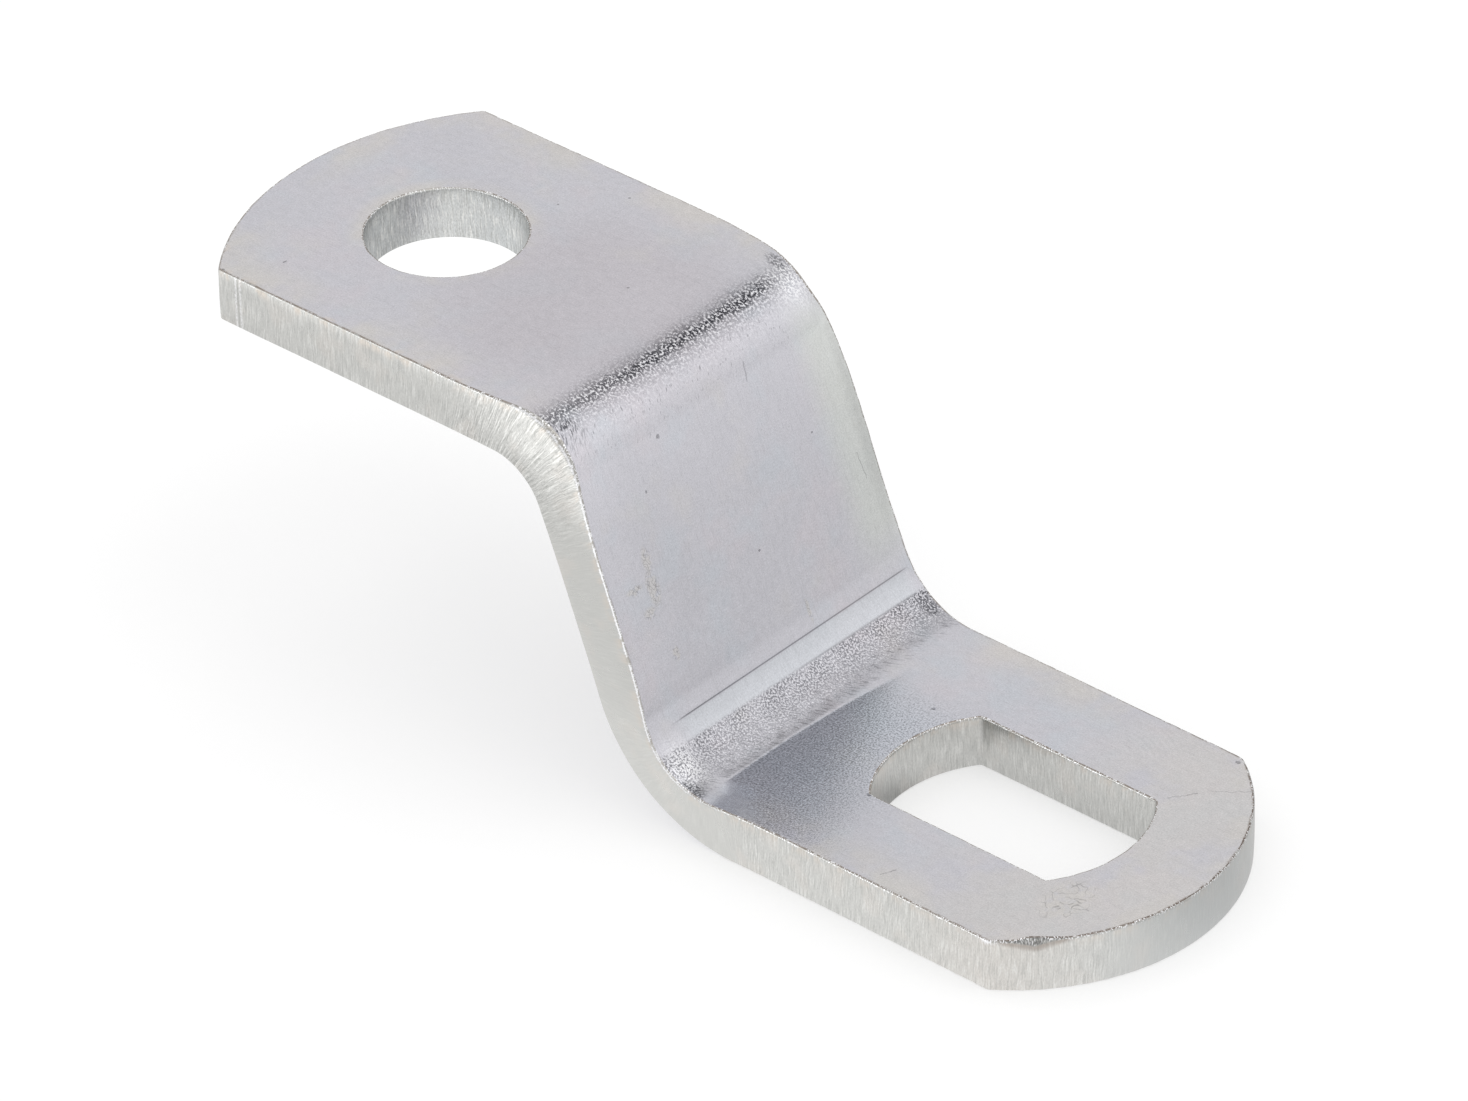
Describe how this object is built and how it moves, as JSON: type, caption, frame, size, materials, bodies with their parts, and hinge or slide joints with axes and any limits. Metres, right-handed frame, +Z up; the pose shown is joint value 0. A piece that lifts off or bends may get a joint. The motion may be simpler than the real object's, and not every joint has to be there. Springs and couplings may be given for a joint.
{
  "type": "exhaust bracket",
  "caption": "Stepped flat steel strip with arc-shaped ends, folded to parallel flanges: a round bolt hole above and an adjusting slot below, for hanging an exhaust.",
  "frame": {"origin": "on the axis of the round hole, in the plane of the upper flange's underside", "axes": "+X along the strip from the upper flange to the lower one, +Y across the strip, +Z up, square to both flanges"},
  "size_m": [0.0596, 0.02, 0.0211],
  "materials": {
    "zinc_plated_steel": "bright zinc plating over laser-cut steel, satin, with striated cut edges"
  },
  "bodies": {
    "root": {"bracket": "zinc_plated_steel"}
  },
  "joints": []
}
